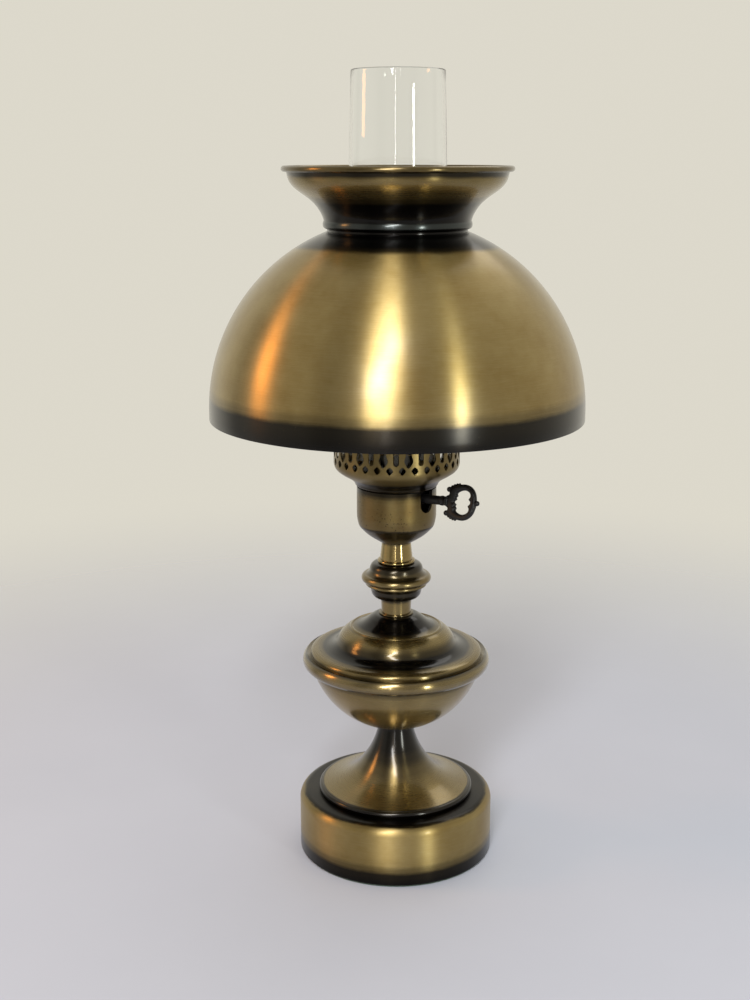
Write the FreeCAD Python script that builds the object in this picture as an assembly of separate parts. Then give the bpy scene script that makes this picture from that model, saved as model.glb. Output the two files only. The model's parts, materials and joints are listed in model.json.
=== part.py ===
import FreeCAD, Part
import math
import os

from FreeCAD import Vector

# Electric table lamp in the shape of an oil lamp.
# Millimetres, +Z up, origin at the centre of the underside, front towards -Y.
# Nearly every piece is turned or spun about Z, so it is drawn as an (r, z) section and revolved.

# ---------------------------------------------------------------- driving dimensions
SHEET = 1.0                 # wall of the spun brass sheet
SHADE_SHEET = 0.8
FELT = 1.2                  # felt under the base
FIT = 0.06                  # gap left between pieces that are pushed or screwed together

PLINTH_R = 69.1
PLINTH_TOP = 44.0
PLINTH_SHOULDER_R = 6.5

WEIGHT_R = 60.0
WEIGHT_BOTTOM = 2.6
CHANNEL_W = 12.0            # cord channel in the weight
CHANNEL_TOP = 20.0
BUSHING_Z = 14.0            # cord outlet in the rear wall
BUSHING_NECK_R = 5.0
BUSHING_BORE_R = 3.6
BUSHING_BORE_L = 15.0
BUSHING_FLANGE = 13.8       # from the bushing's inner end to the back of its flange

FOOT_R = 55.2               # black rounded edge of the foot's disc
FOOT_TOP = 49.0
STEM_R = 12.2
STEM_TOP = 93.6             # where the stem meets the bowl

BOWL_R = 61.9               # sphere that the bowl is spun to
BOWL_CENTRE_Z = 154.4
BOWL_WALL_R = 59.2          # upright wall of the bowl under its lid
RIM_BEAD_R = 5.6
RIM_CENTRE_R = 60.5
RIM_CENTRE_Z = 143.0
RIM_SEAT_Z = 146.4
LID_R = 60.3
LID_TOP = 176.0

NECK_BORE_R = 5.0
PIPE_R = 4.8
PIPE_BORE_R = 3.2
PIPE_BOTTOM = 4.5
PIPE_TOP = 242.0

KNOP_BOTTOM = 188.0
KNOP_TOP = 213.4

CUP_R = 27.5
CUP_BOTTOM = 228.4
CUP_TOP = 268.0
CUP_WALL = 0.9

KEY_AZIMUTH = -42.0         # degrees from +X: front right
KEY_TILT = 5.0              # the key points slightly upwards
KEY_R_AT_CUP = CUP_R
KEY_Z_AT_CUP = 262.8
SPINDLE_R = 3.1
RING_MID = 58.0             # distance of the key ring's centre from the lamp's axis
RING_BACK = 14.0            # from the ring's centre to the spindle's end
RING_T = 4.0
KEY_TURN = 18.0             # the key rests turned a little about its own axis
SLOT_W = 12.0
SLOT_BOTTOM = 253.1

SOCKET_R = 19.5
SOCKET_BOTTOM = 236.0
SOCKET_SHOULDER = 267.4
SKIRT_R = 16.2
SKIRT_TOP = 292.0
SHELL_IN_R = 13.5           # inside of the screw shell
SCREW_R = 1.6               # terminal screws, either side of the switch body
SCREW_L = 3.0
SCREW_Z = 257.6

GALLERY_R = 43.2
GALLERY_FLOOR = 268.6
GALLERY_TOP = 312.0
GALLERY_SHEET = 0.9
GALLERY_PAIRS = 16          # pairs of one tulip hole and one slot
GALLERY_TURN = -1.5         # degrees from a slot at the front

CHIMNEY_BOTTOM = 281.0
CHIMNEY_TOP = 543.0
CHIMNEY_FOOT_R = 37.8
CHIMNEY_TOP_R = 30.7
GLASS_T = 2.0

BULB_R = 24.0
BULB_TOP = 355.0
BULB_BASE_R = 13.1
BULB_BASE_BOTTOM = 271.6

SHADE_R = 127.0             # 10 inch shade
SHADE_BOTTOM = 316.7
SHADE_CENTRE_Z = 322.5
SHADE_HOLE_R = 46.7
CROWN_TOP = 482.8
CROWN_BEAD_R = 1.95
CROWN_RIM_R = 76.5
CROWN_SHEET = 0.8
CLENCH_R = 50.2             # lip of the crown, clenched under the dome

ARM_W = 9.0
ARM_T = 1.8
HUB_GAP = 0.4               # running gap between the spider's hub and the gallery


# ---------------------------------------------------------------- helpers
def point(r, z):
    return Vector(r, 0, z)


def arc_points(centre, radius, start, end, count=7):
    """Points on a circular arc in the section plane, angles in degrees from +r."""
    r0, z0 = centre
    out = []
    for i in range(count):
        a = math.radians(start + (end - start) * i / (count - 1))
        out.append((r0 + radius * math.cos(a), z0 + radius * math.sin(a)))
    return out


def edge_through(points):
    """A straight edge for two points, a smooth curve for more."""
    if len(points) == 2:
        return Part.makeLine(point(*points[0]), point(*points[1]))
    curve = Part.BSplineCurve()
    curve.interpolate([point(r, z) for r, z in points])
    return curve.toShape()


def turned(segments):
    """Revolve a closed section, given as segments that share their end points."""
    edges = [edge_through(seg) for seg in segments]
    first = segments[0][0]
    last = segments[-1][-1]
    if math.dist(first, last) > 1e-6:
        edges.append(Part.makeLine(point(*last), point(*first)))
    face = Part.Face(Part.Wire(edges))
    return face.revolve(Vector(0, 0, 0), Vector(0, 0, 1), 360)


def unit(a, b):
    d = math.dist(a, b)
    return ((b[0] - a[0]) / d, (b[1] - a[1]) / d)


def offset_segments(segments, t):
    """The same chain of segments moved sideways by t, to the right of its direction."""
    chain = [segments[0][0]]
    for seg in segments:
        chain.extend(seg[1:])
    moved = []
    for i, here in enumerate(chain):
        before = unit(chain[i - 1], here) if i > 0 else unit(here, chain[1])
        after = unit(here, chain[i + 1]) if i < len(chain) - 1 else before
        n1 = (before[1], -before[0])
        n2 = (after[1], -after[0])
        cosine = n1[0] * n2[0] + n1[1] * n2[1]
        k = t / (1.0 + cosine)
        moved.append((here[0] + k * (n1[0] + n2[0]), here[1] + k * (n1[1] + n2[1])))
    out = []
    start = 0
    for seg in segments:
        out.append(moved[start:start + len(seg)])
        start += len(seg) - 1
    return out


def spun(segments, t):
    """A sheet of wall t: the section runs along one face and back along the other."""
    inner = offset_segments(segments, t)
    back = [list(reversed(seg)) for seg in reversed(inner)]
    bridge = [segments[-1][-1], back[0][0]]
    return turned(segments + [bridge] + back)


def tube(r_out, r_in, z0, z1):
    outer = Part.makeCylinder(r_out, z1 - z0, Vector(0, 0, z0))
    return outer.cut(Part.makeCylinder(r_in, z1 - z0, Vector(0, 0, z0)))


def hex_nut(across_flats, bore_r, z0, z1):
    corner = across_flats / math.sqrt(3.0)
    corners = []
    for i in range(7):
        a = math.radians(60 * i)
        corners.append(Vector(corner * math.cos(a), corner * math.sin(a), z0))
    body = Part.Face(Part.makePolygon(corners)).extrude(Vector(0, 0, z1 - z0))
    crown = turned([[(0, z0), (corner - 0.8, z0)], [(corner - 0.8, z0), (corner + 0.2, z0 + 0.9)],
                    [(corner + 0.2, z0 + 0.9), (corner + 0.2, z1 - 0.9)],
                    [(corner + 0.2, z1 - 0.9), (corner - 0.8, z1)], [(corner - 0.8, z1), (0, z1)]])
    return body.common(crown).cut(Part.makeCylinder(bore_r, z1 - z0, Vector(0, 0, z0)))


def around(shape, count, start=0.0):
    """Copies of a shape spaced evenly about Z."""
    out = []
    for i in range(count):
        copy = shape.copy()
        copy.rotate(Vector(0, 0, 0), Vector(0, 0, 1), start + 360.0 * i / count)
        out.append(copy)
    return out


def key_axis_point(r):
    """Point on the key's axis at distance r from the lamp's axis."""
    a = math.radians(KEY_AZIMUTH)
    z = KEY_Z_AT_CUP + (r - KEY_R_AT_CUP) * math.tan(math.radians(KEY_TILT))
    return Vector(r * math.cos(a), r * math.sin(a), z)


def key_direction():
    return (key_axis_point(1.0) - key_axis_point(0.0)).normalize()


# ---------------------------------------------------------------- base
def felt_pad():
    return Part.makeCylinder(PLINTH_R - 1.6, FELT)


def plinth_shell():
    """Spun drum with a rounded shoulder, a seat for the pipe and a rolled-in lower edge."""
    rim_in = PLINTH_R - SHEET - 2.6
    shoulder = (PLINTH_R - PLINTH_SHOULDER_R, PLINTH_TOP - PLINTH_SHOULDER_R)
    section = [
        [(NECK_BORE_R, PLINTH_TOP), (shoulder[0], PLINTH_TOP)],
        arc_points(shoulder, PLINTH_SHOULDER_R, 90, 0),
        [(PLINTH_R, shoulder[1]), (PLINTH_R, FELT)],
    ]
    shell = spun(section, SHEET)
    curl = tube(PLINTH_R - SHEET + 0.2, rim_in, FELT, FELT + SHEET)
    shell = shell.fuse(curl)
    hole = Part.makeCylinder(BUSHING_NECK_R, 12, Vector(0, PLINTH_R - 8, BUSHING_Z), Vector(0, 1, 0))
    return shell.cut(hole).removeSplitter()


def base_weight():
    """Cast iron slug with a boss that carries the plinth's top, and a channel for the cord."""
    r = WEIGHT_R
    z0 = WEIGHT_BOTTOM
    boss_top = PLINTH_TOP - SHEET
    body = turned([
        [(NECK_BORE_R, 12.0), (16.0, 12.0)],
        [(16.0, 12.0), (16.0, z0)],
        [(16.0, z0), (r - 1.5, z0)],
        [(r - 1.5, z0), (r, z0 + 1.6)],
        [(r, z0 + 1.6), (r - 1.0, 24.0)],
        arc_points((r - 4.0, 24.0), 3.0, 0, 90),
        [(r - 4.0, 27.0), (26.0, 27.0)],
        arc_points((26.0, 31.0), 4.0, 270, 180),
        [(22.0, 31.0), (21.0, boss_top)],
        [(21.0, boss_top), (NECK_BORE_R, boss_top)],
    ])
    channel = Part.makeBox(CHANNEL_W, r, CHANNEL_TOP - z0, Vector(-CHANNEL_W / 2, 8.0, z0))
    return body.cut(channel)


def cord_bushing():
    """Flanged bushing through the rear wall; its bore is where the supply cord leaves."""
    bore = BUSHING_BORE_R
    length = BUSHING_BORE_L
    neck = BUSHING_NECK_R - 0.2
    back = BUSHING_FLANGE
    shape = turned([
        [(bore, 0), (bore, length)],
        arc_points((bore + 1.2, length), 1.2, 180, 90, 5),
        [(bore + 1.2, length + 1.2), (6.6, length + 0.8)],
        arc_points((6.6, length - 0.1), 0.9, 90, 0, 5),
        [(7.5, length - 0.1), (7.5, back)],
        [(7.5, back), (neck, back)],
        [(neck, back), (neck, back - 4.8)],
        [(neck, back - 4.8), (neck + 0.7, back - 5.4)],
        [(neck + 0.7, back - 5.4), (neck - 0.1, 0)],
    ])
    shape.rotate(Vector(0, 0, 0), Vector(1, 0, 0), -90)
    shape.translate(Vector(0, PLINTH_R + 0.25 - back, BUSHING_Z))
    return shape


def foot_outline():
    """Trumpet from the disc's edge up to the bowl."""
    edge_r = 2.3
    centre = (FOOT_R - edge_r, PLINTH_TOP + edge_r + 0.1)
    trumpet = [(52.9, FOOT_TOP), (48.5, 49.9), (43.0, 51.6), (37.0, 54.2), (31.5, 57.8), (27.0, 62.1),
               (23.2, 67.0), (19.9, 71.9), (17.3, 76.8), (15.3, 81.5), (13.8, 86.0), (12.7, 90.2),
               (STEM_R, STEM_TOP)]
    return [
        [(centre[0] + edge_r, PLINTH_TOP), (centre[0] + edge_r, centre[1])],
        arc_points(centre, edge_r, 0, 90, 5),
        [(centre[0], centre[1] + edge_r), trumpet[0]],
        trumpet,
    ]


def pedestal_foot():
    """Spun trumpet with a hub at the top that stands the bowl on the lamp pipe."""
    outline = foot_outline()
    shell = spun(list(reversed([list(reversed(seg)) for seg in outline])), SHEET)
    hub = tube(STEM_R - 0.7, NECK_BORE_R, STEM_TOP - 2.4, STEM_TOP)
    return shell.fuse(hub).removeSplitter()


# ---------------------------------------------------------------- font
def bowl_z(r, radius):
    return BOWL_CENTRE_Z - math.sqrt(radius * radius - r * r)


def font_bowl():
    """Spun bowl: part of a sphere that turns up into a short upright wall."""
    joint_r = 57.6
    radii = [13.0 + (joint_r - 13.0) * i / 9 for i in range(10)]
    sphere = [(r, bowl_z(r, BOWL_R)) for r in reversed(radii)]
    blend = [(BOWL_WALL_R, 138.4), (58.7, 134.9), (joint_r, bowl_z(joint_r, BOWL_R))]
    section = [
        [(BOWL_WALL_R, 147.0), (BOWL_WALL_R, 138.4)],
        blend,
        sphere,
        [(13.0, bowl_z(13.0, BOWL_R)), (NECK_BORE_R, STEM_TOP)],
    ]
    return spun(section, SHEET)


def font_rim():
    """Half-round bead around the bowl, with a step that the lid's edge sits on."""
    step_angle = 60
    centre = (RIM_CENTRE_R, RIM_CENTRE_Z)
    bead = arc_points(centre, RIM_BEAD_R, -95, step_angle, 15)
    step_r = LID_R + 0.9
    return turned([
        bead,
        [bead[-1], (step_r, RIM_SEAT_Z)],
        [(step_r, RIM_SEAT_Z), (BOWL_WALL_R, RIM_SEAT_Z)],
        [(BOWL_WALL_R, RIM_SEAT_Z), (BOWL_WALL_R, bead[0][1] + 0.6)],
    ])


def font_lid():
    """Domed lid: black shoulder, a small ridge, a convex band, a hollow and a flat flange."""
    top = [(NECK_BORE_R, LID_TOP), (12.6, LID_TOP)]
    shoulder = [(12.6, LID_TOP), (15.4, 175.4), (18.2, 173.8), (21.0, 171.6), (24.0, 169.5), (27.2, 167.9),
                (30.4, 167.0)]
    ridge = [(30.4, 167.0), (31.6, 167.3), (32.7, 166.4)]
    band = [(32.7, 166.4), (35.4, 164.9), (38.2, 162.4), (40.3, 159.6), (41.3, 157.6)]
    hollow = [(41.3, 157.6), (42.6, 155.6), (45.0, 153.6), (48.6, 152.2), (52.8, 151.7)]
    flange = [(52.8, 151.7), (56.6, 151.2), (59.2, 150.3), (LID_R, 149.0)]
    skirt = [(LID_R, 149.0), (LID_R, RIM_SEAT_Z)]
    return spun([top, shoulder, ridge, band, hollow, flange, skirt], 1.0)


# ---------------------------------------------------------------- necks and knop
def lower_check_ring():
    z1 = LID_TOP + 1.2
    return turned([
        [(NECK_BORE_R, LID_TOP), (11.6, LID_TOP)],
        arc_points((11.6, LID_TOP + 0.6), 0.6, -90, 90, 5),
        [(11.6, z1), (NECK_BORE_R, z1)],
    ])


def lower_neck():
    z0 = LID_TOP + 1.2
    return turned([
        [(NECK_BORE_R, z0), (10.4, z0)],
        [(10.4, z0), (10.5, 181.5), (10.75, 185.0), (11.1, KNOP_BOTTOM)],
        [(11.1, KNOP_BOTTOM), (NECK_BORE_R, KNOP_BOTTOM)],
    ])


def knop():
    """Turned knop: dark shoulder, brass torus at the middle, stepped foot."""
    lip = arc_points((20.2, 198.2), 1.3, -90, 30, 5)
    torus = arc_points((21.6, 202.4), 2.75, -75, 90, 9)
    return turned([
        [(NECK_BORE_R, KNOP_BOTTOM), (12.9, KNOP_BOTTOM)],
        [(12.9, KNOP_BOTTOM), (15.4, 188.9), (17.1, 190.9), (17.8, 193.6)],
        [(17.8, 193.6), (18.1, 195.0), (19.2, 196.5)],
        [(19.2, 196.5), lip[0]],
        lip,
        [lip[-1], torus[0]],
        torus,
        [torus[-1], (20.4, 205.8), (19.3, 206.8), (18.6, 208.2)],
        [(18.6, 208.2), (18.3, 209.9), (17.6, 211.5), (16.2, 212.8), (14.2, KNOP_TOP)],
        [(14.2, KNOP_TOP), (NECK_BORE_R, KNOP_TOP)],
    ])


def upper_check_ring():
    z0 = KNOP_TOP
    z1 = z0 + 2.6
    return turned([
        [(NECK_BORE_R, z0), (11.9, z0)],
        arc_points((11.9, z0 + 1.3), 1.3, -90, 90, 7),
        [(11.9, z1), (NECK_BORE_R, z1)],
    ])


def upper_neck():
    z0 = KNOP_TOP + 2.6
    return turned([
        [(NECK_BORE_R, z0), (11.35, z0)],
        [(11.35, z0), (11.2, 218.4), (10.75, 222.0), (10.4, 225.4), (10.1, CUP_BOTTOM)],
        [(10.1, CUP_BOTTOM), (NECK_BORE_R, CUP_BOTTOM)],
    ])


def lamp_pipe():
    """Threaded tube that ties the whole stack together; thread left as its outside diameter."""
    pipe = tube(PIPE_R, PIPE_BORE_R, PIPE_BOTTOM, PIPE_TOP)
    side = Part.makeCylinder(2.9, 12, Vector(0, 0, PIPE_BOTTOM + 4.6), Vector(0, 1, 0))
    return pipe.cut(side)


def base_washer():
    return tube(11.5, PIPE_R + FIT, 10.6, 12.0).cut(
        Part.makeBox(6.2, 12, 2.0, Vector(-3.1, 8.0, 10.3)))


def base_nut():
    return hex_nut(16.0, PIPE_R + FIT, 5.4, 9.0)


def cup_washer():
    return tube(9.2, PIPE_R + FIT, CUP_BOTTOM + CUP_WALL, CUP_BOTTOM + CUP_WALL + 1.2)


def cup_nut():
    z0 = CUP_BOTTOM + CUP_WALL + 1.2
    return hex_nut(14.3, PIPE_R + FIT, z0, z0 + 4.2)


# ---------------------------------------------------------------- socket
def key_slot(width, bottom, top, r0, r1):
    """Upright slot with a round lower end, cut through a wall at the key's azimuth."""
    half = width / 2
    block = Part.makeBox(r1 - r0, width, top - bottom - half, Vector(r0, -half, bottom + half))
    end = Part.makeCylinder(half, r1 - r0, Vector(r0, 0, bottom + half), Vector(1, 0, 0))
    slot = block.fuse(end)
    slot.rotate(Vector(0, 0, 0), Vector(0, 0, 1), KEY_AZIMUTH)
    return slot


def socket_cup():
    """Spun cup: flat seat, cone, crisp turn and an upright wall with the key's slot."""
    section = [
        [(CUP_R, CUP_TOP), (CUP_R, 248.5)],
        [(CUP_R, 248.5), (27.3, 246.0), (26.85, 243.4), (26.2, 240.9)],
        [(26.2, 240.9), (25.6, 239.8)],
        [(25.6, 239.8), (23.4, 237.4), (20.4, 234.6), (16.8, 232.0), (13.6, 230.0), (10.9, CUP_BOTTOM)],
        [(10.9, CUP_BOTTOM), (NECK_BORE_R, CUP_BOTTOM)],
    ]
    cup = spun(section, CUP_WALL)
    return cup.cut(key_slot(SLOT_W, SLOT_BOTTOM, CUP_TOP + 5, 20.0, 32.0))


def cup_liner():
    """Insulating sleeve between the cup's wall and the switch."""
    sleeve = tube(26.0, 25.2, 247.0, CUP_TOP - 1.0)
    return sleeve.cut(key_slot(SLOT_W + 1.0, SLOT_BOTTOM - 0.8, CUP_TOP + 5, 20.0, 32.0))


def socket_body():
    """Moulded switch body with a threaded hub below and the skirt of the screw shell above."""
    section = [
        [(PIPE_R + FIT, SOCKET_BOTTOM), (8.6, SOCKET_BOTTOM)],
        [(8.6, SOCKET_BOTTOM), (9.4, 240.0)],
        [(9.4, 240.0), (SOCKET_R - 1.5, 243.0)],
        arc_points((SOCKET_R - 1.5, 244.5), 1.5, -90, 0, 5),
        [(SOCKET_R, 244.5), (SOCKET_R, SOCKET_SHOULDER)],
        [(SOCKET_R, SOCKET_SHOULDER), (SKIRT_R, SOCKET_SHOULDER)],
        [(SKIRT_R, SOCKET_SHOULDER), (SKIRT_R, SKIRT_TOP)],
        [(SKIRT_R, SKIRT_TOP), (SHELL_IN_R + 0.6, SKIRT_TOP)],
        [(SHELL_IN_R + 0.6, SKIRT_TOP), (SHELL_IN_R + 0.6, 268.0)],
        [(SHELL_IN_R + 0.6, 268.0), (9.0, 267.0)],
        [(9.0, 267.0), (0, 267.0)],
        [(0, 267.0), (0, PIPE_TOP + FIT)],
        [(0, PIPE_TOP + FIT), (PIPE_R + FIT, PIPE_TOP + FIT)],
    ]
    body = turned(section)
    start = key_axis_point(10.0)
    bore = Part.makeCylinder(SPINDLE_R + 0.06, 14.0, start, key_direction())
    for side in (-1, 1):
        pocket = Part.makeBox(10.0, 5.2, 8.0, Vector(side * 16.9 - 5.0, -2.6, 247.0))
        hole = Part.makeCylinder(SCREW_R + FIT, SCREW_L + FIT, Vector(side * SOCKET_R, 0, SCREW_Z),
                                 Vector(-side, 0, 0))
        body = body.cut(pocket).cut(hole)
    return body.cut(bore)


def screw_shell():
    """Brass shell with rolled thread rings; the rings stand for the screw thread."""
    rings = 5
    pitch = 3.6
    outer = [(SHELL_IN_R + 0.55, 269.0), (SHELL_IN_R + 0.55, SKIRT_TOP - 0.5)]
    section = [outer, [outer[1], (SHELL_IN_R, SKIRT_TOP - 0.5)]]
    z = SKIRT_TOP - 0.5
    wave = []
    for i in range(rings * 4 + 1):
        depth = 0.12 * (1 - math.cos(math.radians(90 * i)))
        wave.append((SHELL_IN_R + depth, z - pitch * i / 4))
    section.append(wave)
    section.append([wave[-1], (SHELL_IN_R, 269.0)])
    return turned(section)


def centre_contact():
    """Sprung brass leaf under the bulb's tip."""
    leaf = Part.makeBox(15.0, 5.0, 0.6 - FIT, Vector(-9.0, -2.5, 267.0 + FIT))
    dome = turned([
        [(0, 267.6), (3.4, 267.6)],
        [(3.4, 267.6), (2.4, 268.5), (0.9, 268.9), (0, 268.95)],
    ])
    return leaf.fuse(dome)


def terminal_screw():
    """Binding screw with a slotted pan head, its axis along +X."""
    head = turned([
        [(0, 0), (2.9, 0)],
        [(2.9, 0), (2.9, 1.0)],
        arc_points((1.9, 1.0), 1.0, 0, 90, 5),
        [(1.9, 2.0), (0, 2.0)],
    ])
    shank = Part.makeCylinder(SCREW_R, SCREW_L, Vector(0, 0, -SCREW_L))
    slot = Part.makeBox(7.0, 0.8, 0.9, Vector(-3.5, -0.4, 1.2))
    screw = head.fuse(shank).cut(slot)
    screw.rotate(Vector(0, 0, 0), Vector(0, 1, 0), 90)
    screw.translate(Vector(SOCKET_R, 0, SCREW_Z))
    return screw


def terminal_screws():
    return Part.makeCompound(around(terminal_screw(), 2))


def socket_ring():
    """Moulded ring nut that clamps the gallery's floor on the switch body."""
    z0 = GALLERY_FLOOR + GALLERY_SHEET
    ring = tube(21.0, SKIRT_R + FIT, z0 + FIT, z0 + 4.2)
    grooves = around(Part.makeCylinder(0.9, 4.2, Vector(21.2, 0, z0)), 24)
    return ring.cut(grooves)


# ---------------------------------------------------------------- key
def key_spindle():
    """Steel spindle of the switch; its outer end sits in the ring's boss."""
    start = key_axis_point(11.0)
    end = key_axis_point(RING_MID) - key_direction() * RING_BACK
    return Part.makeCylinder(SPINDLE_R, (end - start).Length, start, key_direction())


def closed_plate(points, thickness):
    """Plate with a smooth outline of (u, w) points, standing in the XZ plane, centred on it."""
    curve = Part.BSplineCurve()
    curve.interpolate([Vector(u, -thickness / 2, w) for u, w in points], PeriodicFlag=True)
    return Part.Face(Part.Wire(curve.toShape())).extrude(Vector(0, thickness, 0))


def mirrored(upper):
    """Upper half of an outline, starting on the u axis, closed by its mirror image below."""
    return upper + [(u, -w) for u, w in reversed(upper[1:])]


def key_ring():
    """Cast ring handle: cusped inside, an ear and small beads each side of the spindle.

    Drawn upright in the XZ plane with the spindle along -X, then turned to the key's place.
    """
    outside = mirrored([(11.4, 0.0), (10.9, 4.0), (9.1, 7.8), (6.0, 10.6), (1.8, 12.0), (-3.2, 11.7),
                        (-7.3, 10.7), (-10.8, 9.5), (-12.6, 7.2), (-12.1, 4.8), (-13.8, 2.6)])
    inside = mirrored([(7.2, 0.0), (6.5, 1.8), (7.0, 4.0), (5.8, 6.5), (2.4, 8.1), (-0.9, 8.0),
                       (-4.3, 6.8), (-5.6, 4.6), (-5.8, 2.6), (-6.6, 1.1)])
    ring = closed_plate(outside, RING_T).cut(closed_plate(inside, 2 * RING_T))
    ears = [(-12.6, side * 7.9, 2.0) for side in (-1, 1)]
    tip = [(12.0, 0.0, 2.0)]
    studs = []
    for side in (-1, 1):
        studs += [(-9.9, side * 10.2, 1.0), (-7.0, side * 11.2, 1.0), (-4.0, side * 11.9, 0.9)]
    for u, w, radius in ears + tip + studs:
        ring = ring.fuse(Part.makeSphere(radius, Vector(u, 0, w)))
    boss = Part.makeCylinder(3.9, 3.4, Vector(-15.8, 0, 0), Vector(1, 0, 0))
    socket = Part.makeCylinder(SPINDLE_R + FIT, 2.0 + FIT, Vector(-16.0, 0, 0), Vector(1, 0, 0))
    ring = ring.fuse(boss).cut(socket)
    ring.rotate(Vector(0, 0, 0), Vector(1, 0, 0), -KEY_TURN)
    ring.rotate(Vector(0, 0, 0), Vector(0, 1, 0), -KEY_TILT)
    ring.rotate(Vector(0, 0, 0), Vector(0, 0, 1), KEY_AZIMUTH)
    ring.translate(key_axis_point(RING_MID))
    return ring


# ---------------------------------------------------------------- gallery and chimney
def prism_through_wall(points):
    """A radial cutter at the front of the gallery from (across, z) points, smooth and closed."""
    curve = Part.BSplineCurve()
    curve.interpolate([Vector(x, -GALLERY_R - 3, z) for x, z in points], PeriodicFlag=True)
    face = Part.Face(Part.Wire(curve.toShape()))
    return face.extrude(Vector(0, 8.0, 0))


def tulip_hole():
    """Leaf-shaped hole: pointed below, waisted, round above."""
    tip = (0, 289.4)
    side = [(1.9, 291.2), (3.05, 294.2), (2.0, 298.2), (2.6, 302.0)]
    top = (0, 304.4)
    return prism_through_wall([tip] + side + [top] + [(-x, z) for x, z in reversed(side)])


def slot_hole():
    """Upright hole with round ends."""
    half = 1.9
    low = 290.5
    high = 304.4
    slot = Part.makeBox(2 * half, 8.0, high - low - 2 * half, Vector(-half, -GALLERY_R - 3, low + half))
    for z in (low + half, high - half):
        end = Part.makeCylinder(half, 8.0, Vector(0, -GALLERY_R - 3, z), Vector(0, 1, 0))
        slot = slot.fuse(end)
    return slot


def diamond_hole():
    """Rounded diamond, a little longer below its widest line than above."""
    half = 2.3
    z = 287.5
    side = [(0.6 * half, z - 1.7), (half, z), (0.62 * half, z + 1.45)]
    return prism_through_wall([(0, z - 2.9)] + side + [(0, z + 2.4)] + [(-x, w) for x, w in reversed(side)])


def gallery():
    """Pierced crown that holds the chimney: round floor, flared side, straight wall."""
    section = [
        [(GALLERY_R, GALLERY_TOP), (GALLERY_R, 285.4)],
        [(GALLERY_R, 285.4), (42.9, 282.9), (41.6, 280.6), (39.2, 278.6)],
        [(39.2, 278.6), (33.6, 275.2), (30.6, 273.0), (28.9, 270.8)],
        [(28.9, 270.8), (27.9, 269.1), (26.6, GALLERY_FLOOR)],
        [(26.6, GALLERY_FLOOR), (SKIRT_R + FIT, GALLERY_FLOOR)],
    ]
    wall = spun(section, GALLERY_SHEET)
    pitch = 360.0 / GALLERY_PAIRS
    cutters = around(slot_hole(), GALLERY_PAIRS, GALLERY_TURN)
    cutters += around(tulip_hole(), GALLERY_PAIRS, GALLERY_TURN + pitch / 2)
    cutters += around(diamond_hole(), GALLERY_PAIRS * 2, GALLERY_TURN + pitch / 4)
    return wall.cut(cutters)


def chimney_seat():
    """Pressed ring in the gallery with upright fingers around the chimney's foot."""
    z1 = CHIMNEY_BOTTOM - 0.4
    plate = tube(38.9, 31.0, z1 - 0.9, z1)
    finger = Part.makeBox(0.8, 7.0, 13.0, Vector(38.3, -3.5, z1 - 0.4))
    return plate.fuse(around(finger, 8, 22.5))


def chimney_r(z):
    taper = (CHIMNEY_FOOT_R - 0.5 - CHIMNEY_TOP_R) / (CHIMNEY_TOP - CHIMNEY_BOTTOM)
    return CHIMNEY_TOP_R + taper * (CHIMNEY_TOP - z)


def chimney():
    """Slightly tapered glass tube with a beaded foot and a fire-polished lip."""
    foot = CHIMNEY_BOTTOM
    lip = GLASS_T / 2
    z_wall = foot + 6.0
    return turned([
        arc_points((CHIMNEY_FOOT_R - 1.2, foot + 1.2), 1.2, -90, 0, 5),
        [(CHIMNEY_FOOT_R, foot + 1.2), (CHIMNEY_FOOT_R - 0.1, foot + 3.0), (chimney_r(z_wall), z_wall)],
        [(chimney_r(z_wall), z_wall), (CHIMNEY_TOP_R, CHIMNEY_TOP - lip)],
        arc_points((CHIMNEY_TOP_R - lip, CHIMNEY_TOP - lip), lip, 0, 180, 9),
        [(CHIMNEY_TOP_R - GLASS_T, CHIMNEY_TOP - lip), (chimney_r(foot + 1.2) - GLASS_T, foot + 1.2)],
        [(chimney_r(foot + 1.2) - GLASS_T, foot + 1.2), (chimney_r(foot + 1.2) - GLASS_T + 0.7, foot)],
    ])


# ---------------------------------------------------------------- bulb
def bulb_base():
    """Screw cap of the bulb with rolled thread rings."""
    rings = 5
    pitch = 3.6
    z0 = BULB_BASE_BOTTOM + 1.6
    wave = []
    for i in range(rings * 4 + 1):
        depth = 0.2 * (1 - math.cos(math.radians(90 * i)))
        wave.append((BULB_BASE_R - depth, z0 + pitch * i / 4))
    top = wave[-1][1] + 2.4
    return turned([
        wave,
        [wave[-1], (BULB_BASE_R, top)],
        [(BULB_BASE_R, top), (BULB_BASE_R - 0.6, top)],
        [(BULB_BASE_R - 0.6, top), (BULB_BASE_R - 0.6, z0 - 0.2)],
        [(BULB_BASE_R - 0.6, z0 - 0.2), (8.6, BULB_BASE_BOTTOM)],
        [(8.6, BULB_BASE_BOTTOM), (9.4, BULB_BASE_BOTTOM)],
        [(9.4, BULB_BASE_BOTTOM), (BULB_BASE_R - 0.4, z0 - 0.4), wave[0]],
    ])


def bulb_insulator():
    z0 = BULB_BASE_BOTTOM
    return turned([
        [(0, z0 - 1.4), (4.6, z0 - 1.4)],
        [(4.6, z0 - 1.4), (8.6, z0)],
        [(8.6, z0), (BULB_BASE_R - 0.7, z0 + 1.6)],
        [(BULB_BASE_R - 0.7, z0 + 1.6), (0, z0 + 1.6)],
    ])


def bulb_contact():
    z1 = BULB_BASE_BOTTOM - 1.4
    return turned([
        [(0, z1 - 0.9), (2.2, z1 - 0.9), (4.0, z1 - 0.35), (4.6, z1)],
        [(4.6, z1), (0, z1)],
    ])


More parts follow.
